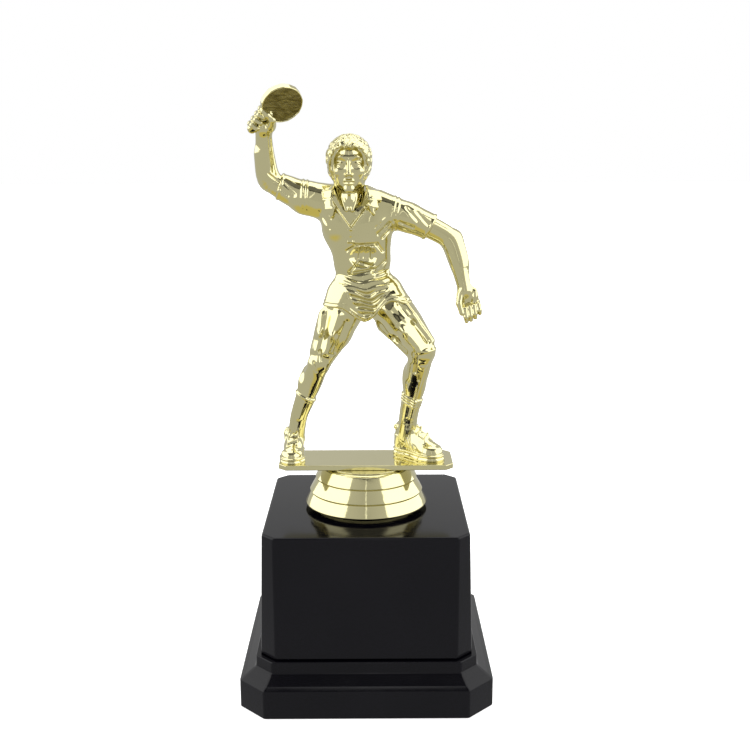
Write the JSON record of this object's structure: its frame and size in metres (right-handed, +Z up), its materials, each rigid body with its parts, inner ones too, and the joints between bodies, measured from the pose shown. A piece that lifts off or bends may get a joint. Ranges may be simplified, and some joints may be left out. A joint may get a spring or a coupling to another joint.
{
  "type": "figure trophy",
  "caption": "Award trophy: gold-plated table-tennis player on an oblong plate, above a stepped round riser and a black two-tier base.",
  "frame": {"origin": "middle of the underside of the felt pad, where the trophy stands", "axes": "+Z up along the stud, -Y towards the front that the player faces, +X to the viewer's right"},
  "size_m": [0.075, 0.075, 0.1808],
  "materials": {
    "gold_plating": "vacuum-metallised pale gold, mirror bright",
    "black_plastic": "polished black moulding",
    "brass": "turned",
    "zinc_steel": "bright zinc plate",
    "raw_iron": "as cast, lightly oiled",
    "felt": "black-green felt"
  },
  "bodies": {
    "base": {"base_pad": "felt", "plinth": "black_plastic", "base_block": "black_plastic", "ballast_plate": "raw_iron", "flat_washer": "zinc_steel", "screw_front_left": "zinc_steel", "screw_front_right": "zinc_steel", "screw_back_left": "zinc_steel", "screw_back_right": "zinc_steel"},
    "figure_on_stud": {"figure": "gold_plating", "threaded_insert": "brass", "riser": "gold_plating", "threaded_rod": "zinc_steel", "spring_washer": "zinc_steel", "hex_nut": "zinc_steel"}
  },
  "joints": [
    {"name": "figure_turn", "type": "hinge", "parent": "base", "child": "figure_on_stud", "pos_m": [0, 0, 0.0524], "axis": [0, 0, 1], "continuous": true}
  ]
}
